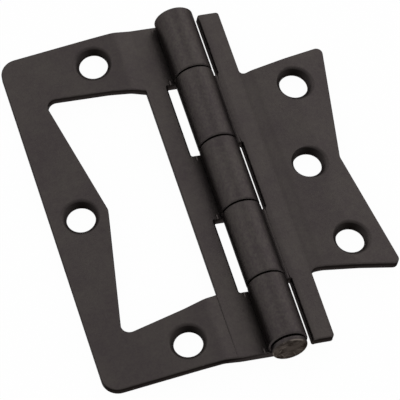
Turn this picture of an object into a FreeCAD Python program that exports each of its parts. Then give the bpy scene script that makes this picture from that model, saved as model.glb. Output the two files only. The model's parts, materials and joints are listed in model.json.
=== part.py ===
"""Surface mount hinge: two pressed leaves with interleaved knuckles on one fixed pin.

The hinge lies open on a flat surface, barrel up, as it comes to rest on a table.
Origin: on the pin's axis, at the middle of the leaves' height.
+Y runs along the pin, from its head to its staked end, +X towards the inner leaf, +Z up.

Each leaf is made in its own frame before it is tilted to its resting angle:
u points from the pin's axis out along the flat plate, v runs along the pin and
w stands square to the plate, on the side of the barrel and the countersinks.
Lengths are millimetres and angles are degrees.
"""
import FreeCAD, Part
import math
import os

# Sheet, pin and barrel
SHEET = 1.7
PIN_RADIUS = 2.1
RUNNING_CLEARANCE = 0.05
CURL_END_GAP = 0.35
RIM_BEVEL = 0.25

# Knuckles along the pin, the frame leaf's first: the two beside the middle one share what the others leave
LEAF_HEIGHT = 76.2
END_KNUCKLE = 14.1
MIDDLE_KNUCKLE = 15.2
KNUCKLE_GAP = 0.25

# Section of a leaf: the plate eases down and bends to a strip whose tongues curl round the pin
AXIS_BELOW_PLATE = 0.4
NESTED_STRIP_CLEARANCE = 0.1
FRAME_SLOT_CLEARANCE = 1.6
INNER_SLOT_CLEARANCE = 1.15
SLOT_CORNER_RADIUS = 0.4
EAR_WIDTH = 4.3
KNEE_FROM_STRIP_EDGE = 0.4
KNEE_BEND = 3.0
SLOPE_BEND = 4.0
EASING_BEND = 14.0
FRAME_SLOPE_FROM_WINDOW = 0.65
FRAME_SLOPE_RUN = 3.3
FRAME_EASING_RUN = 4.2
FRAME_EASING_DEPTH = 0.1
INNER_SLOPE_FROM_EAR = 0.15
INNER_SLOPE_RUN = 2.0
INNER_EASING_RUN = 7.1
INNER_EASING_DEPTH = 0.55

# Plan of the inner leaf
WING_REACH = 26.75
WING_TIP_FROM_END = 12.45
WING_ROOT_FROM_END = 15.4
WING_NOTCH_DEPTH = 4.4
WING_TIP_RADIUS = 1.2
WING_ROOT_RADIUS = 1.0
EAR_CORNER_RADIUS = 0.6

# Plan of the frame leaf: its window is the wing's outline with room to pass
FRAME_WIDTH = 35.5
FRAME_CORNER_RADIUS = 3.3
WINDOW_ROOM_AT_EAR = 0.4
WINDOW_ROOM_AT_ROOT = 1.1
WINDOW_ROOM_AT_SIDES = 1.6
WINDOW_ROOM_AT_TIPS = 2.5
WINDOW_ROOM_AT_NOTCH = 1.7
WINDOW_SIDE_BEND_REACH = 16.6
WINDOW_SIDE_BEND_FROM_END = 12.8
WINDOW_SIDE_BEND_RADIUS = 20.0
WINDOW_CORNER_RADIUS = 1.7
NOTCH_VERTEX_RADIUS = 2.0

# Marks of the press on the barrel's side: broken edges, and a crease that fades from the window to one end
EDGE_BEVEL = 0.2
CREASE_DEPTH = 0.15
CREASE_SLANT = 45.0

# Countersunk screw holes with a pressed lip, each placed from the edges beside it
HOLE_RADIUS = 2.8
COUNTERSINK_RADIUS = 3.45
COUNTERSINK_ANGLE = 82.0
LIP_RADIUS = 4.1
LIP_ANGLE = 130.0
FRAME_HOLE_FROM_END = 5.8
FRAME_HOLE_FROM_OUTER_EDGE = 17.7
FRAME_MIDDLE_HOLE_FROM_OUTER_EDGE = 6.0
WING_HOLE_FROM_TIP_HEIGHT = 7.45
WING_HOLE_FROM_TIP = 8.0
WING_MIDDLE_HOLE_FROM_NOTCH = 6.45

# Ends of the pin
HEAD_RADIUS = 3.5
HEAD_THICKNESS = 1.2
HEAD_ROUND = 0.5
HEAD_UNDERCUT = 0.3
HEAD_CROWN = 0.15
HEAD_SEAT_GAP = 0.1
STAKE_SPREAD = 0.4
STAKE_CROWN = 0.15

# Sizes that follow
BORE_RADIUS = PIN_RADIUS + RUNNING_CLEARANCE
BARREL_RADIUS = BORE_RADIUS + SHEET
CURL_RADIUS = BORE_RADIUS + SHEET / 2
HALF_HEIGHT = LEAF_HEIGHT / 2
WING_TIP_HALF_HEIGHT = HALF_HEIGHT - WING_TIP_FROM_END
WING_ROOT_HALF_HEIGHT = HALF_HEIGHT - WING_ROOT_FROM_END
PLATE_LEVEL = AXIS_BELOW_PLATE
PLATE_TOP = PLATE_LEVEL + SHEET / 2
PLATE_BACK = PLATE_LEVEL - SHEET / 2
STRIP_LEVEL = -(SHEET + NESTED_STRIP_CLEARANCE) / 2
FRAME_STRIP_EDGE = BARREL_RADIUS + FRAME_SLOT_CLEARANCE
INNER_STRIP_EDGE = BARREL_RADIUS + INNER_SLOT_CLEARANCE
EAR_EDGE = INNER_STRIP_EDGE + EAR_WIDTH
NOTCH_REACH = WING_REACH - WING_NOTCH_DEPTH
WINDOW_EDGE = EAR_EDGE + WINDOW_ROOM_AT_EAR
INNER_KNEE = INNER_STRIP_EDGE + KNEE_FROM_STRIP_EDGE
INNER_SLOPE_FOOT = EAR_EDGE + INNER_SLOPE_FROM_EAR
FRAME_SLOPE_FOOT = WINDOW_EDGE - FRAME_SLOPE_FROM_WINDOW
WINDOW_ROOT_HALF_HEIGHT = WING_ROOT_HALF_HEIGHT + WINDOW_ROOM_AT_ROOT
OVERRUN = 1.0
LONGEST_ARC_REACH = 0.49

CENTRE = FreeCAD.Vector(0, 0, 0)
ALONG_PIN = FreeCAD.Vector(0, 1, 0)
UPWARD = FreeCAD.Vector(0, 0, 1)


def in_section(u, w):
    """A point of a leaf's section, which lies in the plane v = 0."""
    return FreeCAD.Vector(u, 0, w)


def in_plan(u, v):
    """A point of a leaf's plan, which lies in the plane w = 0."""
    return FreeCAD.Vector(u, v, 0)


def left_of(direction):
    """The direction a quarter turn to the left, in the plane of a path."""
    return FreeCAD.Vector(-direction.y, direction.x, 0)


def corner_arc(before, corner, after, radius, offset):
    """Start, middle and end of the arc that rounds a corner of a path moved left by offset.

    The arc keeps to its share of the two runs that it joins.
    """
    shorter_run = min((corner - before).Length, (after - corner).Length)
    arriving = (corner - before).normalize()
    leaving = (after - corner).normalize()
    turn = math.copysign(1, arriving.cross(leaving).z)
    half_turn = math.tan(arriving.getAngle(leaving) / 2)
    reach = min(radius * half_turn, LONGEST_ARC_REACH * shorter_run)
    radius = reach / half_turn
    start = corner - arriving * reach
    end = corner + leaving * reach
    centre = start + left_of(arriving) * turn * radius
    middle = centre + (corner - centre).normalize() * (radius - turn * offset)
    return start + left_of(arriving) * offset, middle, end + left_of(leaving) * offset


def path_edges(corners, place, offset=0.0, closed=False):
    """Straight runs and tangent arcs through corners given as (a, b, radius), moved left by offset."""
    points = [FreeCAD.Vector(a, b, 0) for a, b, radius in corners]
    stops = []
    for index, point in enumerate(points):
        before, after = points[index - 1], points[(index + 1) % len(points)]
        radius = corners[index][2]
        if not closed and index == 0:
            stops.append([point + left_of((after - point).normalize()) * offset])
        elif not closed and index == len(points) - 1:
            stops.append([point + left_of((point - before).normalize()) * offset])
        elif radius == 0:
            stops.append([point])
        else:
            stops.append(corner_arc(before, point, after, radius, offset))
    edges = []
    for index, stop in enumerate(stops):
        if len(stop) == 3:
            edges.append(Part.Arc(*[place(point.x, point.y) for point in stop]).toShape())
        if closed or index < len(stops) - 1:
            ends = stop[-1], stops[(index + 1) % len(stops)][0]
            edges.append(Part.makeLine(*[place(point.x, point.y) for point in ends]))
    return edges


def curl_angles(knee):
    """Where a curl starts, its middle and where it leaves the pin, as radians about the pin from +u.

    The tongue leaves the curl's underside on the straight line to the knee, which is where the
    strip turns down. The curl's free end stops short of the tongue by the gap left there.
    """
    knee_distance = math.hypot(knee, STRIP_LEVEL)
    slope = math.asin(CURL_RADIUS / knee_distance) - math.atan2(-STRIP_LEVEL, knee)
    leaves = slope + 1.5 * math.pi
    starts = leaves + math.acos((BORE_RADIUS - CURL_END_GAP) / BARREL_RADIUS) - 2 * math.pi
    return starts, (starts + leaves) / 2, leaves


def bent_plate(foot, slope_run, easing_depth, easing_run, reach):
    """The section's corners from the strip, up the bend and the easing, and out to the plate's edge."""
    return [
        (foot, STRIP_LEVEL, SLOPE_BEND),
        (foot + slope_run, PLATE_LEVEL - easing_depth, SLOPE_BEND),
        (foot + slope_run + easing_run, PLATE_LEVEL, EASING_BEND),
        (reach, PLATE_LEVEL, 0),
    ]


def leaf_section(corners):
    """The sheet's section from the curl's free end, round the pin and out along the given corners."""
    angles = curl_angles(corners[0][0])
    corners = [(CURL_RADIUS * math.cos(angles[-1]), CURL_RADIUS * math.sin(angles[-1]), 0)] + corners
    sides = []
    for offset in (SHEET / 2, -SHEET / 2):
        radius = CURL_RADIUS - offset
        stops = [in_section(radius * math.cos(angle), radius * math.sin(angle)) for angle in angles]
        sides.append([Part.Arc(*stops).toShape()] + path_edges(corners, in_section, offset))
    starts = [side[0].valueAt(side[0].FirstParameter) for side in sides]
    ends = [side[-1].valueAt(side[-1].LastParameter) for side in sides]
    edges = sides[0] + [Part.makeLine(*ends)] + sides[1] + [Part.makeLine(*starts)]
    return Part.Face(Part.Wire(Part.__sortEdges__(edges)))


def knuckle_spans():
    """The stretches of the barrel that the knuckles fill in turn, with half a gap off at each joint."""
    middle_joint, end_joint = MIDDLE_KNUCKLE / 2, HALF_HEIGHT - END_KNUCKLE
    joints = [-end_joint, -middle_joint, middle_joint, end_joint]
    lows = [-HALF_HEIGHT] + [joint + KNUCKLE_GAP / 2 for joint in joints]
    highs = [joint - KNUCKLE_GAP / 2 for joint in joints] + [HALF_HEIGHT]
    return list(zip(lows, highs))


def comb_corners(knuckles, strip_edge):
    """The plan's corners on the barrel's side: tongues that run past the barrel, and slots between."""
    past_barrel = -BARREL_RADIUS - OVERRUN
    corners = []
    for low, high in knuckles:
        if low > -HALF_HEIGHT:
            corners.append((strip_edge, low, SLOT_CORNER_RADIUS))
        corners += [(past_barrel, low, 0), (past_barrel, high, 0)]
        if high < HALF_HEIGHT:
            corners.append((strip_edge, high, SLOT_CORNER_RADIUS))
    return corners


def plan_prism(corners):
    """An upright block with the given plan, tall enough to take in the whole leaf."""
    wire = Part.Wire(path_edges(corners, in_plan, closed=True))
    wire.translate(UPWARD * -(BARREL_RADIUS + OVERRUN))
    return Part.Face(wire).extrude(UPWARD * 2 * (BARREL_RADIUS + OVERRUN))


def mirrored(corners):
    """Completes corners that are drawn for one half of the height and are the same on the other."""
    return corners + [(u, -v, radius) for u, v, radius in reversed(corners) if v > 0]


def frame_plan():
    """The frame leaf's plan: a rounded rectangle less its window."""
    outer = mirrored([(FRAME_WIDTH, HALF_HEIGHT, FRAME_CORNER_RADIUS)])
    side_bend_half_height = HALF_HEIGHT - WINDOW_SIDE_BEND_FROM_END
    tip_half_height = WING_TIP_HALF_HEIGHT + WINDOW_ROOM_AT_SIDES
    window = mirrored([
        (WINDOW_EDGE, WINDOW_ROOT_HALF_HEIGHT, 0),
        (WINDOW_SIDE_BEND_REACH, side_bend_half_height, WINDOW_SIDE_BEND_RADIUS),
        (WING_REACH + WINDOW_ROOM_AT_TIPS, tip_half_height, WINDOW_CORNER_RADIUS),
        (NOTCH_REACH + WINDOW_ROOM_AT_NOTCH, 0, NOTCH_VERTEX_RADIUS),
    ])
    comb = comb_corners(knuckle_spans()[::2], FRAME_STRIP_EDGE)
    return plan_prism(comb + outer).cut(plan_prism(window))


def inner_plan():
    """The inner leaf's plan: the wing with its shallow V, and the two ears beside the barrel."""
    outer = mirrored([
        (INNER_STRIP_EDGE, HALF_HEIGHT, SLOT_CORNER_RADIUS),
        (EAR_EDGE, HALF_HEIGHT, EAR_CORNER_RADIUS),
        (EAR_EDGE, WING_ROOT_HALF_HEIGHT, WING_ROOT_RADIUS),
        (WING_REACH, WING_TIP_HALF_HEIGHT, WING_TIP_RADIUS),
        (NOTCH_REACH, 0, NOTCH_VERTEX_RADIUS),
    ])
    return plan_prism(comb_corners(knuckle_spans()[1::2], INNER_STRIP_EDGE) + outer)


def top_edges(shape):
    """The edges of the plan on the barrel's side, where the sheet's face meets an upright wall."""
    picked = []
    for edge in shape.Edges:
        middle = edge.valueAt((edge.FirstParameter + edge.LastParameter) / 2)
        if middle.x < BARREL_RADIUS:
            continue
        faces = shape.ancestorsOfType(edge, Part.Face)
        rises = [face.normalAt(*face.Surface.parameter(middle)).z for face in faces]
        if max(rises) > 0.5 and min(abs(rise) for rise in rises) < 0.01:
            picked.append(edge)
    return picked


def countersunk_hole(u, v):
    """The cutter of one screw hole: a shallow lip, the screw's cone and a short land at the back."""
    slant = math.tan(math.radians(COUNTERSINK_ANGLE / 2))
    lip_slant = math.tan(math.radians(LIP_ANGLE / 2))
    cone_top = PLATE_TOP - (LIP_RADIUS - COUNTERSINK_RADIUS) / lip_slant
    profile = [
        (0, PLATE_BACK - OVERRUN),
        (HOLE_RADIUS, PLATE_BACK - OVERRUN),
        (HOLE_RADIUS, cone_top - (COUNTERSINK_RADIUS - HOLE_RADIUS) / slant),
        (COUNTERSINK_RADIUS, cone_top),
        (LIP_RADIUS + OVERRUN * lip_slant, PLATE_TOP + OVERRUN),
        (0, PLATE_TOP + OVERRUN),
    ]
    wire = Part.makePolygon([in_section(radius, w) for radius, w in profile + profile[:1]])
    return Part.Face(wire).revolve(CENTRE, UPWARD, 360).translated(in_plan(u, v))


def pressed_crease():
    """The cutter of the frame leaf's crease, which fades from the window to the end at the pin's head."""
    half_width = OVERRUN / math.tan(math.radians(CREASE_SLANT))
    slope_rise = PLATE_LEVEL - FRAME_EASING_DEPTH - STRIP_LEVEL
    slope = math.atan2(slope_rise, FRAME_SLOPE_RUN)
    face_level = STRIP_LEVEL + FRAME_SLOPE_FROM_WINDOW * math.tan(slope) + SHEET / 2 / math.cos(slope)

    def notch(v, bottom):
        """The crease's open V at one place along the pin."""
        corners = [
            FreeCAD.Vector(WINDOW_EDGE - half_width, v, bottom + OVERRUN),
            FreeCAD.Vector(WINDOW_EDGE, v, bottom),
            FreeCAD.Vector(WINDOW_EDGE + half_width, v, bottom + OVERRUN),
        ]
        return Part.makePolygon(corners + corners[:1])

    deep_end = notch(WINDOW_ROOT_HALF_HEIGHT, face_level - CREASE_DEPTH)
    return Part.makeLoft([deep_end, notch(HALF_HEIGHT, face_level)], True)


def rim_bevel(span_end, outward, knee):
    """The cutter that bevels a knuckle's outer rim, round all of the curl's open side."""
    corners = [
        (BARREL_RADIUS - RIM_BEVEL - OVERRUN, span_end + outward * OVERRUN),
        (BARREL_RADIUS + OVERRUN, span_end - outward * (RIM_BEVEL + OVERRUN)),
        (BARREL_RADIUS + OVERRUN, span_end + outward * OVERRUN),
    ]
    face = Part.Face(Part.makePolygon([in_plan(radius, y) for radius, y in corners + corners[:1]]))
    angles = curl_angles(knee)
    starts, leaves = math.degrees(angles[0]), math.degrees(angles[-1])
    return face.rotated(CENTRE, ALONG_PIN, -starts).revolve(CENTRE, ALONG_PIN, starts - leaves)


def resting_lean(leaf):
    """How far a leaf leans down for its outer back edge and the barrel to rest on one surface."""
    reach = leaf.BoundBox.XMax
    return math.degrees(
        math.asin(BARREL_RADIUS / math.hypot(reach, PLATE_BACK)) - math.atan2(-PLATE_BACK, reach)
    )


def leaf(section_corners, plan, knuckles, holes):
    """One leaf in its own frame: bent, cut to its plan, bevelled and countersunk."""
    knee = section_corners[0][0]
    section = leaf_section(section_corners).translated(ALONG_PIN * -HALF_HEIGHT)
    shape = section.extrude(ALONG_PIN * LEAF_HEIGHT).common(plan)
    shape = shape.makeChamfer(EDGE_BEVEL, top_edges(shape))
    cutters = [countersunk_hole(u, v) for u, v in holes]
    for low, high in knuckles:
        cutters += [rim_bevel(low, -1, knee), rim_bevel(high, 1, knee)]
    return shape.cut(cutters)


def stake_seat():
    """The cutter of the flared mouth in the last knuckle, which the pin's staked end fills."""
    foot = ALONG_PIN * (HALF_HEIGHT - STAKE_SPREAD)
    return Part.makeCone(BORE_RADIUS, BORE_RADIUS + STAKE_SPREAD, STAKE_SPREAD, foot, ALONG_PIN)


def make_frame_leaf():
    """The large leaf, with knuckles 1, 3 and 5 and the window that the inner leaf nests in."""
    end_hole_u = FRAME_WIDTH - FRAME_HOLE_FROM_OUTER_EDGE
    end_hole_v = HALF_HEIGHT - FRAME_HOLE_FROM_END
    holes = [
        (end_hole_u, end_hole_v),
        (end_hole_u, -end_hole_v),
        (FRAME_WIDTH - FRAME_MIDDLE_HOLE_FROM_OUTER_EDGE, 0),
    ]
    section = bent_plate(
        FRAME_SLOPE_FOOT, FRAME_SLOPE_RUN, FRAME_EASING_DEPTH, FRAME_EASING_RUN, FRAME_WIDTH
    )
    shape = leaf(section, frame_plan(), knuckle_spans()[::2], holes).cut(pressed_crease())
    shape.rotate(CENTRE, ALONG_PIN, resting_lean(shape))
    shape.rotate(CENTRE, UPWARD, 180)
    return shape.cut(stake_seat())


def make_inner_leaf():
    """The small leaf, with knuckles 2 and 4, the wing and the ears."""
    side_hole_u = WING_REACH - WING_HOLE_FROM_TIP
    side_hole_v = WING_TIP_HALF_HEIGHT - WING_HOLE_FROM_TIP_HEIGHT
    holes = [
        (side_hole_u, side_hole_v),
        (side_hole_u, -side_hole_v),
        (NOTCH_REACH - WING_MIDDLE_HOLE_FROM_NOTCH, 0),
    ]
    section = [(INNER_KNEE, STRIP_LEVEL, KNEE_BEND)]
    section += bent_plate(
        INNER_SLOPE_FOOT, INNER_SLOPE_RUN, INNER_EASING_DEPTH, INNER_EASING_RUN, WING_REACH
    )
    shape = leaf(section, inner_plan(), knuckle_spans()[1::2], holes)
    shape.rotate(CENTRE, ALONG_PIN, resting_lean(shape))
    return shape


def make_hinge_pin():
    """The fixed pin: a crowned head at the near end, a plain shank and a staked far end."""
    head_back = -HALF_HEIGHT - HEAD_SEAT_GAP
    head_face = head_back - HEAD_THICKNESS
    flat_radius = HEAD_RADIUS - HEAD_ROUND
    slant = HEAD_ROUND * math.sqrt(0.5)

    def at(radius, y):
        return FreeCAD.Vector(radius, y, 0)

    def crown(rim, y, height):
        """A shallow dome from the pin's axis to its rim."""
        sag = height / 4
        return Part.Arc(at(0, y + height), at(rim / 2, y + height - sag), at(rim, y)).toShape()

    head_crown = crown(flat_radius, head_face, -HEAD_CROWN)
    head_edge = Part.Arc(
        at(flat_radius, head_face),
        at(flat_radius + slant, head_face + HEAD_ROUND - slant),
        at(HEAD_RADIUS, head_face + HEAD_ROUND),
    ).toShape()
    stake_crown = crown(PIN_RADIUS + STAKE_SPREAD, HALF_HEIGHT, STAKE_CROWN)
    shank = [
        at(HEAD_RADIUS, head_face + HEAD_ROUND),
        at(HEAD_RADIUS, head_back - HEAD_UNDERCUT),
        at(HEAD_RADIUS - HEAD_UNDERCUT, head_back),
        at(PIN_RADIUS, head_back),
        at(PIN_RADIUS, HALF_HEIGHT - STAKE_SPREAD),
        at(PIN_RADIUS + STAKE_SPREAD, HALF_HEIGHT),
    ]
    sides = [Part.makeLine(*ends) for ends in zip(shank, shank[1:])]
    axis = Part.makeLine(at(0, HALF_HEIGHT + STAKE_CROWN), at(0, head_face - HEAD_CROWN))
    wire = Part.Wire(Part.__sortEdges__([head_crown, head_edge] + sides + [stake_crown, axis]))
    return Part.Face(wire).revolve(CENTRE, ALONG_PIN, 360)


def main():
    """Builds each piece and writes it to its own file."""
    os.makedirs("parts", exist_ok=True)
    pieces = {
        "frame_leaf": make_frame_leaf(),
        "inner_leaf": make_inner_leaf(),
        "hinge_pin": make_hinge_pin(),
    }
    for name, shape in pieces.items():
        solid = shape.Solids[0]
        print(name, "solids", len(shape.Solids), "valid", shape.isValid(), "volume", round(solid.Volume, 2))
        solid.exportStep(f"parts/{name}.step")


main()
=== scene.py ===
"""Looks of the surface mount hinge: its satin coating, its rubbed pin, the studio and the camera.

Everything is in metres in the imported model's frame: the origin is on the pin's axis, +Y runs along
the pin from its head to its staked end, +X points to the inner leaf and +Z up to the barrel's side.
"""

import json
import logging
import math
from collections.abc import Mapping, Sequence
from dataclasses import dataclass
from enum import Enum
from functools import reduce

import bmesh
import bpy
from mathutils import Euler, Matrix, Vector

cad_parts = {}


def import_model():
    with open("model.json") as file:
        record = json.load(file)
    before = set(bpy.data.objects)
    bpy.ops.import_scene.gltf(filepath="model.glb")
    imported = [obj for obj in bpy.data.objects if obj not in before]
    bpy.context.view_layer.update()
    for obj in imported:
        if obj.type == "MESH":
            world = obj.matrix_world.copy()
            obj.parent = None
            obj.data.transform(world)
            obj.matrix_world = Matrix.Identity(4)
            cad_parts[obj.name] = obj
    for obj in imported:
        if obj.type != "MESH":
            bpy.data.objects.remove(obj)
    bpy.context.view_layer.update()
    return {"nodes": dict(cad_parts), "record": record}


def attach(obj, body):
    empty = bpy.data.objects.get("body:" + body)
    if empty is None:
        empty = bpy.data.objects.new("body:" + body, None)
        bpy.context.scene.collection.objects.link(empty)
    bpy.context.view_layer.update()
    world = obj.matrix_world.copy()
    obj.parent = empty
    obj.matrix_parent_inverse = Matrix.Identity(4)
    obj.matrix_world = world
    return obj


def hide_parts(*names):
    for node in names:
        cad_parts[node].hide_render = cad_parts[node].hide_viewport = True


log = logging.getLogger("hinge")

Triple = tuple[float, float, float]
Colour = Triple
FullColour = tuple[float, float, float, float]
Mount = Mapping[str, object]

MILLIMETRE = 0.001
NOISE_MEAN = 0.5
WHITE = (1.0, 1.0, 1.0)


class Body(Enum):
    """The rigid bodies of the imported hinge."""

    FRAME_LEAF = "frame_leaf"
    INNER_LEAF = "inner_leaf"


class Slot(Enum):
    """The record's material slots."""

    LEAF_COATING = "leaf_coating"
    PIN_COATING = "pin_coating"


class FaceMark(Enum):
    """What a face of the mesh is marked as, for its finish to read: worn bevels, or painted shade on cut
    walls and in screw holes.
    """

    EDGE = "edge_wear"
    # Painted shade: cut walls and screw holes made near black where the lamps leave them dark.
    PAINTED_SHADE = "painted_shade"


class Rays(Enum):
    """The kinds of ray that see the surround as plain white."""

    CAMERA = "Is Camera Ray"
    GLOSSY = "Is Glossy Ray"
    TRANSMISSION = "Is Transmission Ray"


@dataclass(frozen=True)
class Pattern:
    """Soft noise, and the band of its values that spreads from 0 to 1 where it is read as patches."""

    scale: float
    detail: float = 2.0
    roughness: float = 0.5
    low: float = 0.0
    high: float = 1.0


class Signal:
    """A number that varies over a surface, so that shader maths reads as Python expressions."""

    def __init__(self, graph: "ShaderGraph", socket: bpy.types.NodeSocket) -> None:
        """Wraps an output socket.

        Args:
            graph: The graph that the socket belongs to.
            socket: The output socket that carries the number.
        """
        self.graph = graph
        self.socket = socket

    def _combined(self, operation: str, first: "Signal | float", second: "Signal | float") -> "Signal":
        """Adds the Math node for one operator.

        Args:
            operation: The Math node's operation.
            first: The left-hand value.
            second: The right-hand value.

        Returns:
            The result as a new signal.
        """
        return self.graph.node("ShaderNodeMath", {"operation": operation}, {0: first, 1: second})["Value"]

    def __add__(self, other: "Signal | float") -> "Signal":
        """This plus other."""
        return self._combined("ADD", self, other)

    def __radd__(self, other: float) -> "Signal":
        """A number plus this."""
        return self._combined("ADD", other, self)

    def __sub__(self, other: "Signal | float") -> "Signal":
        """This less other."""
        return self._combined("SUBTRACT", self, other)

    def __rsub__(self, other: float) -> "Signal":
        """A number less this."""
        return self._combined("SUBTRACT", other, self)

    def __mul__(self, other: "Signal | float") -> "Signal":
        """This times other."""
        return self._combined("MULTIPLY", self, other)

    def __rmul__(self, other: float) -> "Signal":
        """A number times this."""
        return self._combined("MULTIPLY", other, self)

    def larger(self, other: "Signal | float") -> "Signal":
        """The larger of this and other."""
        return self._combined("MAXIMUM", self, other)

    def ramped(self, low: float, high: float) -> "Signal":
        """A smooth step from 0 at low to 1 at high.

        Args:
            low: The value at which the step starts.
            high: The value at which the step ends; below low it falls instead.

        Returns:
            The step as a new signal.
        """
        settings = {"interpolation_type": "SMOOTHSTEP", "data_type": "FLOAT"}
        if low < high:
            values = {"Value": self, "From Min": low, "From Max": high, "To Min": 0.0, "To Max": 1.0}
        else:
            values = {"Value": self, "From Min": high, "From Max": low, "To Min": 1.0, "To Max": 0.0}
        return self.graph.node("ShaderNodeMapRange", settings, values)["Result"]


class Step:
    """A node that was added, whose outputs are read by name."""

    def __init__(self, graph: "ShaderGraph", node: bpy.types.Node) -> None:
        """Wraps a node.

        Args:
            graph: The graph that the node belongs to.
            node: The node whose outputs are read.
        """
        self.graph = graph
        self.node = node

    def __getitem__(self, name: str) -> Signal:
        """The first live output of that name."""
        return Signal(self.graph, next(o for o in self.node.outputs if o.name == name and o.enabled))


class ShaderGraph:
    """The node tree of one material or world."""

    def __init__(self, tree: bpy.types.NodeTree) -> None:
        """Starts from an empty tree.

        Args:
            tree: The tree, which is cleared.
        """
        self.tree = tree
        self.tree.nodes.clear()

    def node(self, kind: str, settings: Mapping[str, object], values: Mapping[str | int, object]) -> Step:
        """Adds a node, sets it up and then fills or links its sockets.

        Args:
            kind: The node's type name.
            settings: The node's own properties, set first.
            values: Each input by name or index, as a number, a colour, a vector or a signal.

        Returns:
            The added node.
        """
        added = self.tree.nodes.new(kind)
        for name, setting in settings.items():
            setattr(added, name, setting)
        for name, value in values.items():
            if isinstance(name, int):
                socket = added.inputs[name]
            else:
                socket = next(i for i in added.inputs if i.name == name and i.enabled)
            if isinstance(value, Signal):
                self.tree.links.new(value.socket, socket)
            else:
                socket.default_value = value
        return Step(self, added)

    def place(self, turn: Triple = (0.0, 0.0, 0.0), stretch: Triple = (1.0, 1.0, 1.0)) -> Signal:
        """The point on the piece in millimetres, turned and stretched for a pattern.

        Args:
            turn: The pattern's turn about X, Y and Z, in degrees.
            stretch: How much finer than a millimetre the pattern is along each axis.

        Returns:
            The point as a signal.
        """
        as_point = {"vector_type": "POINT"}
        point = self.node("ShaderNodeTexCoord", {}, {})["Object"]
        angles = tuple(math.radians(angle) for angle in turn)
        turned = self.node("ShaderNodeMapping", as_point, {"Vector": point, "Rotation": angles})["Vector"]
        finer = tuple(share / MILLIMETRE for share in stretch)
        return self.node("ShaderNodeMapping", as_point, {"Vector": turned, "Scale": finer})["Vector"]

    def noise(self, point: Signal, pattern: Pattern) -> Signal:
        """A pattern's soft noise.

        Args:
            point: Where the pattern is read, in millimetres.
            pattern: Its scale is features in each millimetre; detail and roughness are its finer layers.

        Returns:
            The noise, about 0.5 on average.
        """
        values = {
            "Vector": point,
            "Scale": pattern.scale,
            "Detail": pattern.detail,
            "Roughness": pattern.roughness,
        }
        return self.node("ShaderNodeTexNoise", {"noise_dimensions": "3D"}, values)["Fac"]

    def patches(self, point: Signal, pattern: Pattern) -> Signal:
        """A pattern's noise, spread from 0 at its low value to 1 at its high one."""
        return self.noise(point, pattern).ramped(pattern.low, pattern.high)

    def from_axis(self) -> Signal:
        """The distance from the pin's axis in millimetres."""
        flattened = {"Vector": self.place(stretch=(1.0, 0.0, 1.0))}
        return self.node("ShaderNodeVectorMath", {"operation": "LENGTH"}, flattened)["Value"]

    def along_axis(self) -> Signal:
        """The distance along the pin from the middle of the leaves, in millimetres."""
        return self.node("ShaderNodeSeparateXYZ", {}, {"Vector": self.place()})["Y"]

    def mark(self, which: FaceMark) -> Signal:
        """How far each face is marked."""
        return self.node("ShaderNodeAttribute", {"attribute_name": which.value}, {})["Fac"]

    def mixed(self, share: Signal, first: "Signal | Colour", second: "Signal | Colour") -> Signal:
        """A colour between two others.

        Args:
            share: 0 for the first colour and 1 for the second.
            first: The first colour.
            second: The second colour.

        Returns:
            The mixed colour.
        """
        values = {"Factor": share, "A": padded(first), "B": padded(second)}
        return self.node("ShaderNodeMix", {"data_type": "RGBA", "blend_type": "MIX"}, values)["Result"]


def padded(colour: "Signal | Colour") -> "Signal | FullColour":
    """A colour with full alpha; a signal is left as it is."""
    return colour if isinstance(colour, Signal) else (*colour, 1.0)


def grey(tone: float) -> FullColour:
    """A grey of the given tone, with full alpha."""
    return (tone, tone, tone, 1.0)


def new_material(name: str) -> tuple[bpy.types.Material, ShaderGraph]:
    """Makes a material from nodes.

    Args:
        name: The material's name.

    Returns:
        The material and its empty graph.
    """
    material = bpy.data.materials.new(name)
    material.use_nodes = True
    return material, ShaderGraph(material.node_tree)


def new_object(name: str, data: bpy.types.ID) -> bpy.types.Object:
    """Adds an object to the scene.

    Args:
        name: The object's name.
        data: The mesh, lamp or camera that the object shows.

    Returns:
        The added object.
    """
    added = bpy.data.objects.new(name, data)
    bpy.context.scene.collection.objects.link(added)
    return added


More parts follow.
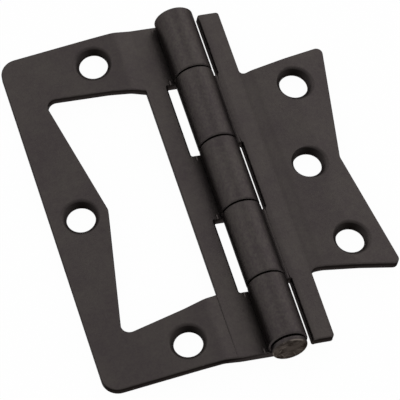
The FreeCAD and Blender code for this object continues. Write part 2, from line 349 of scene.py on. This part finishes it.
@dataclass(frozen=True)
class SatinCoating:
    """Dark bronze satin coating on pressed steel: clouded and finely grained, with shade painted near black
    on cut walls and in screw holes.

    The barrel's reach and fade are in millimetres and the grain's and ripple's heights in metres.
    """

    name: str = "satin_coating"
    body: Colour = (0.0531, 0.0469, 0.0433)
    cloud: Colour = (0.0405, 0.0337, 0.0346)
    edge: Colour = (0.08, 0.069, 0.065)
    # Painted shade: the near-black colour mixed in on cut walls and in screw holes.
    painted_shade_tone: Colour = (0.005, 0.004, 0.0036)
    edge_share: float = 0.6
    metallic: float = 1.0
    roughness: float = 0.4
    roughness_swing: float = 0.06
    rubbed_gloss: float = 0.1
    specular: float = 0.2
    grazing: Colour = (0.4, 0.4, 0.4)
    clouds: Pattern = Pattern(scale=0.09, low=0.35, high=0.65)
    cloud_share: float = 0.35
    mottling: Pattern = Pattern(scale=0.6, detail=3.0, roughness=0.6, low=0.3, high=0.7)
    mottle_share: float = 0.3
    speckles: Pattern = Pattern(scale=2.2, roughness=0.6, low=0.3, high=0.7)
    speckle_share: float = 0.35
    streaked: Pattern = Pattern(scale=2.0, detail=3.0, roughness=0.7, low=0.3, high=0.7)
    streak_stretch: Triple = (1.0, 0.65, 1.0)
    streak_share: float = 0.9
    barrel_reach: float = 4.0
    barrel_fade: float = 0.5
    worn: Pattern = Pattern(scale=0.6, detail=3.0, low=0.3, high=0.75)
    grain: Pattern = Pattern(scale=6.0)
    grain_height: float = 0.022 * MILLIMETRE
    ripple: Pattern = Pattern(scale=1.1)
    ripple_height: float = 0.032 * MILLIMETRE

    def material(self) -> bpy.types.Material:
        """Makes the coating's material.

        Returns:
            The material, with its graph filled.
        """
        material, graph = new_material(self.name)
        self.dress(graph)
        return material

    def dress(self, graph: ShaderGraph) -> None:
        """Fills the material's graph; a finish with more on it has its own way."""
        self.fill(graph, self.clouded(graph), 0.0)

    def clouded(self, graph: ShaderGraph) -> Signal:
        """The coating's uneven tone, from broad clouds, finer mottling and the barrel's streaks.

        Args:
            graph: The material's graph.

        Returns:
            The tone, before worn edges and the painted shade show.
        """
        point = graph.place()
        broad = graph.patches(point, self.clouds) * self.cloud_share
        middling = graph.patches(point, self.mottling) * self.mottle_share
        fine = graph.patches(point, self.speckles) * self.speckle_share
        return graph.mixed(broad + middling + fine + self.streaks(graph), self.body, self.cloud)

    def streaks(self, graph: ShaderGraph) -> Signal:
        """The barrel's streaks, which the rolling of its knuckles leaves.

        Args:
            graph: The material's graph.

        Returns:
            How much more or less clouded a streak is; 0 away from the barrel.
        """
        uneven = graph.patches(graph.place(stretch=self.streak_stretch), self.streaked) - NOISE_MEAN
        on_barrel = graph.from_axis().ramped(self.barrel_reach + self.barrel_fade, self.barrel_reach)
        return uneven * on_barrel * self.streak_share

    def fill(self, graph: ShaderGraph, colour: Signal, rubbed: "Signal | float") -> None:
        """Finishes the material from its tone.

        Args:
            graph: The material's graph.
            colour: The coating's tone before its worn edges and its painted shade show.
            rubbed: How far the surface is rubbed smooth.
        """
        point = graph.place()
        grain = graph.noise(point, self.grain)
        ripple = graph.noise(point, self.ripple)
        worn = graph.mark(FaceMark.EDGE) * graph.patches(point, self.worn) * self.edge_share
        tone = graph.mixed(worn, colour, self.edge)
        uneven = self.roughness_swing * (ripple + grain - 2 * NOISE_MEAN)
        sheen = self.roughness + uneven - self.rubbed_gloss * rubbed
        relief = grain * self.grain_height + ripple * self.ripple_height
        bump = graph.node("ShaderNodeBump", {}, {"Strength": 1.0, "Distance": 1.0, "Height": relief})
        surface = graph.node(
            "ShaderNodeBsdfPrincipled",
            {},
            {
                # Painted shade: marked walls and holes are mixed towards the near-black colour.
                "Base Color": graph.mixed(graph.mark(FaceMark.PAINTED_SHADE), tone, self.painted_shade_tone),
                "Metallic": self.metallic,
                "Roughness": sheen,
                "Specular IOR Level": self.specular,
                "Specular Tint": padded(self.grazing),
                "Normal": bump["Normal"],
            },
        )
        graph.node("ShaderNodeOutputMaterial", {}, {"Surface": surface["BSDF"]})


@dataclass(frozen=True)
class RubbedPin(SatinCoating):
    """The same coating on the pin, rubbed thin and scratched on the two end faces.

    Its faces and its rim are placed in millimetres and its scratches are turned in degrees.
    """

    name: str = "rubbed_pin"
    edge: Colour = (0.15, 0.13, 0.115)
    edge_share: float = 0.8
    bare: Colour = (0.024, 0.0195, 0.017)
    rubbed: Colour = (0.064, 0.0535, 0.047)
    scratched: Colour = (0.15, 0.128, 0.112)
    head_face: float = -39.3
    staked_face: float = 38.15
    face_depth: float = 0.15
    rim_radius: float = 3.3
    rim_width: float = 0.2
    rim_depth: float = 0.4
    rim_breaks: Pattern = Pattern(scale=0.3, low=0.42, high=0.6)
    rubbings: Pattern = Pattern(scale=0.5, detail=3.0, roughness=0.6, low=0.34, high=0.64)
    scratch: Pattern = Pattern(scale=1.0, detail=1.0, low=0.69, high=0.77)
    scratch_turns: tuple[float, ...] = (24.0, 63.0, 117.0, 158.0)
    scratch_stretch: Triple = (0.35, 1.0, 6.5)

    def dress(self, graph: ShaderGraph) -> None:
        """Fills the graph with the coating, its rubbed patches and its scratches.

        Args:
            graph: The material's graph.
        """
        faces = self.end_faces(graph)
        patches = graph.patches(graph.place(), self.rubbings)
        thinned = graph.mixed(faces, self.clouded(graph), graph.mixed(patches, self.bare, self.rubbed))
        bright = (self.scratches(graph) * faces).larger(self.worn_rim(graph))
        marked = graph.mixed(bright, thinned, self.scratched)
        self.fill(graph, marked, patches * faces)

    def end_faces(self, graph: ShaderGraph) -> Signal:
        """Where the pin's two end faces are.

        Args:
            graph: The material's graph.

        Returns:
            1 on the end faces and 0 along the pin's side.
        """
        along = graph.along_axis()
        head = along.ramped(self.head_face + self.face_depth, self.head_face)
        stake = along.ramped(self.staked_face - self.face_depth, self.staked_face)
        return head.larger(stake)

    def worn_rim(self, graph: ShaderGraph) -> Signal:
        """Where the head's rim is rubbed bright: a broken line round its face.

        Args:
            graph: The material's graph.

        Returns:
            1 where the line is brightest and 0 away from it.
        """
        from_axis = graph.from_axis()
        along = graph.along_axis()
        inside = from_axis.ramped(self.rim_radius - self.rim_width, self.rim_radius)
        outside = from_axis.ramped(self.rim_radius + self.rim_width, self.rim_radius)
        head = along.ramped(self.head_face + self.rim_depth, self.head_face)
        return inside * outside * head * graph.patches(graph.place(), self.rim_breaks)

    def scratches(self, graph: ShaderGraph) -> Signal:
        """Fine scratches that cross the end faces in a few directions."""
        points = [graph.place((0.0, turn, 0.0), self.scratch_stretch) for turn in self.scratch_turns]
        return reduce(Signal.larger, [graph.patches(point, self.scratch) for point in points])


@dataclass
class CadPiece:
    """A piece made from its CAD shape: welded, marked for its finish and softened along its edges.

    Lengths are metres and angles are degrees.
    """

    node: str
    body: Body
    slot: Slot
    finish: SatinCoating
    weld: float = 0.0005 * MILLIMETRE
    flat_within: float = 0.15
    hard_above: float = 27.0
    bevel_below: float = 65.0
    bevel_edges_share: float = 0.45
    narrow_face: float = 0.4 * MILLIMETRE
    soft_edge: float = 0.08 * MILLIMETRE
    soft_steps: int = 3
    flat_faces_lead: int = 90

    def build(self, nodes: Mapping[str, bpy.types.Object]) -> bpy.types.Object:
        """Makes the finished piece, which takes the CAD node's place.

        Args:
            nodes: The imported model's nodes by name.

        Returns:
            The finished piece.
        """
        mesh = nodes[self.node].data.copy()
        mesh.name = f"{self.node}_coated"
        form = bmesh.new()
        form.from_mesh(mesh)
        self.weld_faces(form)
        self.mark_edges(form)
        # Painted shade on walls and holes, kept in a corner layer.
        self.mark_painted_shade(form)
        form.to_mesh(mesh)
        form.free()
        mesh.materials.clear()
        mesh.materials.append(self.finish.material())
        piece = new_object(mesh.name, mesh)
        self.soften(piece)
        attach(piece, self.body.value)
        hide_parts(self.node)
        return piece

    def weld_faces(self, form: bmesh.types.BMesh) -> None:
        """Joins the CAD triangles into smooth faces with hard edges between them.

        Args:
            form: The copy of the CAD node's loose triangles.
        """
        flat = math.radians(self.flat_within)
        sharp = math.radians(self.hard_above)
        bmesh.ops.remove_doubles(form, verts=form.verts, dist=self.weld)
        bmesh.ops.dissolve_limit(form, angle_limit=flat, verts=form.verts, edges=form.edges, delimit=set())
        for face in form.faces:
            face.smooth = True
        for edge in form.edges:
            edge.smooth = len(edge.link_faces) == 2 and edge.calc_face_angle() < sharp

    def mark_edges(self, form: bmesh.types.BMesh) -> None:
        """Marks the narrow bevels, where the coating is thin.

        Args:
            form: The piece's mesh, with its hard edges set.
        """
        layer = form.faces.layers.float.new(FaceMark.EDGE.value)
        steepest = math.radians(self.bevel_below)
        for face in form.faces:
            slanted = [edge for edge in face.edges if not edge.smooth and edge.calc_face_angle() < steepest]
            round_it = sum(edge.calc_length() for edge in slanted) / face.calc_perimeter()
            if round_it > self.bevel_edges_share and self.width(face) < self.narrow_face:
                face[layer] = 1.0

    def width(self, face: bmesh.types.BMFace) -> float:
        """A face's width, taken as a long strip's."""
        return 2 * face.calc_area() / face.calc_perimeter()

    def mark_painted_shade(self, form: bmesh.types.BMesh) -> None:
        """Adds the painted-shade layer and leaves it empty: a plain piece has no painted shade."""
        form.loops.layers.float.new(FaceMark.PAINTED_SHADE.value)

    def soften(self, piece: bpy.types.Object) -> None:
        """Rounds every hard edge a little and lets the large flat faces lead the shading.

        Args:
            piece: The piece's object.
        """
        bevel = piece.modifiers.new("soft_edges", "BEVEL")
        bevel.width = self.soft_edge
        bevel.segments = self.soft_steps
        bevel.limit_method = "ANGLE"
        bevel.angle_limit = math.radians(self.hard_above)
        bevel.use_clamp_overlap = False
        shading = piece.modifiers.new("flat_faces", "WEIGHTED_NORMAL")
        shading.mode = "FACE_AREA"
        shading.weight = self.flat_faces_lead
        shading.keep_sharp = True


@dataclass
class Leaf(CadPiece):
    """A pressed leaf with shade painted on its cut walls and in its screw holes, darker than its faces."""

    bores: Sequence[Mount] = ()
    countersink: float = 3.55 * MILLIMETRE
    barrel: float = 3.95 * MILLIMETRE
    upright_below: float = 0.35
    hole_wall_below: float = 0.8
    # Painted shade: its strength in the holes, darker on the side turned from the lamps, and on the cut
    # walls, darker at their upper edge.
    hole_shade: float = 0.3
    hole_shade_swing: float = 0.7
    hole_shaded_side: Triple = (0.342, 0.94, 0.0)
    land_share: float = 0.65
    wall_shade: float = 0.2
    wall_top_shade: float = 0.8
    lip_facet: float = 1.2 * MILLIMETRE**2
    rim_share: float = 0.75

    def mark_painted_shade(self, form: bmesh.types.BMesh) -> None:
        """Paints shade on the screw holes and the cut walls away from the barrel, fading over the rims
        beside them.

        Args:
            form: The leaf's mesh, with its bevels marked.
        """
        bevel = form.faces.layers.float[FaceMark.EDGE.value]
        layer = form.loops.layers.float.new(FaceMark.PAINTED_SHADE.value)
        holes = {face: self.screw_hole(face) for face in form.faces}
        walls = {face for face in form.faces if abs(face.normal.z) < self.upright_below or holes[face]}
        for face in form.faces:
            beside_hole = any(holes[beside] for corner in face.verts for beside in corner.link_faces)
            lip = beside_hole and face.calc_area() < self.lip_facet
            for loop in face.loops:
                if face in walls:
                    loop[layer] = self.shade_depth(holes[face], loop.vert)
                elif face[bevel] > 0 or lip:
                    met = walls.intersection(loop.vert.link_faces)
                    shade_depths = [self.shade_depth(holes[beside], loop.vert) for beside in met]
                    loop[layer] = self.rim_share * max(shade_depths, default=0.0)

    def shade_depth(self, bore: Mount | None, corner: bmesh.types.BMVert) -> float:
        """How dark the painted shade is at a corner of a cut wall.

        Args:
            bore: The screw hole that the wall belongs to, if any.
            corner: One of the wall's corners.

        Returns:
            Up to 1; in a hole it grows towards the side that looks away from the light, and on a wall
            towards the upper edge. It is 0 around the barrel.
        """
        upper = any(beside.normal.z > self.upright_below for beside in corner.link_faces)
        if bore:
            away = (corner.co - Vector(bore["pos_m"])).normalized()
            turned_away = max(0.0, away.dot(Vector(self.hole_shaded_side)))
            shade_depth = self.hole_shade + self.hole_shade_swing * turned_away**2
            return shade_depth if upper else shade_depth * self.land_share
        if math.hypot(corner.co.x, corner.co.z) < self.barrel:
            return 0.0
        return self.wall_top_shade if upper else self.wall_shade

    def screw_hole(self, face: bmesh.types.BMFace) -> Mount | None:
        """The screw hole that a face belongs to.

        Args:
            face: A face of the leaf.

        Returns:
            The hole's mount for its cone and land, and nothing for any other face.
        """
        for bore in self.bores:
            away = face.calc_center_median() - Vector(bore["pos_m"])
            axis = Vector(bore["axis"])
            beside = (away - axis * away.dot(axis)).length
            if beside < self.countersink and abs(face.normal.dot(axis)) < self.hole_wall_below:
                return bore
        return None


@dataclass(frozen=True)
class SoftLamp:
    """One square area lamp of the studio, aimed at the hinge."""

    name: str
    place: Triple
    side: float
    power: float

    def build(self) -> bpy.types.Object:
        """Makes the lamp and points it at the origin.

        Returns:
            The lamp's object.
        """
        lamp = bpy.data.lights.new(self.name, "AREA")
        lamp.shape = "SQUARE"
        lamp.size = self.side
        lamp.energy = self.power
        holder = new_object(self.name, lamp)
        holder.location = self.place
        holder.rotation_euler = (-Vector(self.place)).to_track_quat("-Z", "Y").to_euler()
        return holder


@dataclass
class Studio:
    """The pale floor, the white surround and the soft lamps."""

    floor_level: float = -3.87 * MILLIMETRE
    floor_side: float = 6.0
    floor_tone: float = 0.8
    floor_white: float = 0.975
    world_tone: float = 0.8
    lamps: tuple[SoftLamp, ...] = (
        SoftLamp("left_lamp", place=(-0.16, 0.28, 0.27), side=0.27, power=0.14),
        SoftLamp("right_lamp", place=(0.3, 0.24, 0.21), side=0.42, power=0.4),
    )

    def build(self) -> None:
        """Makes the floor, the world and the lamps."""
        self.floor()
        self.world()
        for lamp in self.lamps:
            lamp.build()

    def seen_white(self, graph: ShaderGraph) -> Signal:
        """Which rays see the surround as white.

        Args:
            graph: The graph of the floor or the world.

        Returns:
            1 for the rays that see the surround and 0 for the rays that light the hinge.
        """
        path = graph.node("ShaderNodeLightPath", {}, {})
        seen = path[Rays.CAMERA.value].larger(path[Rays.GLOSSY.value])
        return seen.larger(path[Rays.TRANSMISSION.value])

    def floor(self) -> bpy.types.Object:
        """Makes the floor: near white where the camera sees it, and still darkened by the hinge's shadow.

        Returns:
            The floor's object.
        """
        form = bmesh.new()
        bmesh.ops.create_grid(form, x_segments=1, y_segments=1, size=self.floor_side / 2)
        bmesh.ops.translate(form, vec=Vector((0, 0, self.floor_level)), verts=form.verts)
        mesh = bpy.data.meshes.new("floor")
        form.to_mesh(mesh)
        form.free()
        material, graph = new_material("pale_floor")
        paper = graph.node("ShaderNodeBsdfDiffuse", {}, {"Color": grey(self.floor_tone)})["BSDF"]
        white = graph.node("ShaderNodeEmission", {}, {"Color": padded(WHITE), "Strength": 1.0})["Emission"]
        share = self.seen_white(graph) * self.floor_white
        surface = graph.node("ShaderNodeMixShader", {}, {0: share, 1: paper, 2: white})["Shader"]
        graph.node("ShaderNodeOutputMaterial", {}, {"Surface": surface})
        mesh.materials.append(material)
        return new_object("floor", mesh)

    def world(self) -> None:
        """Makes the surround: white to the camera, and a dim even light for everything else."""
        world = bpy.data.worlds.new("studio")
        world.use_nodes = True
        bpy.context.scene.world = world
        graph = ShaderGraph(world.node_tree)
        kind = "ShaderNodeBackground"
        dim = graph.node(kind, {}, {"Color": grey(self.world_tone), "Strength": 1.0})["Background"]
        white = graph.node(kind, {}, {"Color": padded(WHITE), "Strength": 1.0})["Background"]
        share = self.seen_white(graph)
        surface = graph.node("ShaderNodeMixShader", {}, {0: share, 1: dim, 2: white})["Shader"]
        graph.node("ShaderNodeOutputWorld", {}, {"Surface": surface})


@dataclass(frozen=True)
class PhotoCamera:
    """The camera at the photograph's place: far off, above the head's end and a little to the left."""

    place: Triple = (-0.167481, -0.448206, 0.754964)
    turn: Triple = (32.0104, -2.0177, -16.6296)
    lens: float = 421.32
    sensor: float = 36.0
    nearest: float = 0.01
    furthest: float = 20.0

    def build(self) -> None:
        """Makes the camera and gives it to the scene."""
        data = bpy.data.cameras.new("photo_camera")
        data.lens = self.lens
        data.sensor_width = self.sensor
        data.clip_start = self.nearest
        data.clip_end = self.furthest
        camera = new_object("photo_camera", data)
        camera.location = self.place
        camera.rotation_euler = Euler([math.radians(angle) for angle in self.turn], "XYZ")
        bpy.context.scene.camera = camera


def main() -> None:
    """Builds the hinge's pieces, the studio and the camera, and reports each piece."""
    logging.basicConfig(level=logging.INFO, format="%(name)s: %(message)s")
    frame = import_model()
    coating = SatinCoating()
    bores = [mount for mount in frame["record"]["mounts"] if mount["kind"] == "bore"]
    parts = [
        Leaf("frame_leaf", Body.FRAME_LEAF, Slot.LEAF_COATING, coating, bores=bores),
        Leaf("inner_leaf", Body.INNER_LEAF, Slot.LEAF_COATING, coating, bores=bores),
        CadPiece("hinge_pin", Body.FRAME_LEAF, Slot.PIN_COATING, RubbedPin()),
    ]
    pieces = [part.build(frame["nodes"]) for part in parts]
    for piece in pieces:
        log.info("%s has %d faces", piece.name, len(piece.data.polygons))
    Studio().build()
    PhotoCamera().build()
    bpy.context.scene.view_settings.view_transform = "Standard"


if __name__ == "__main__":
    main()
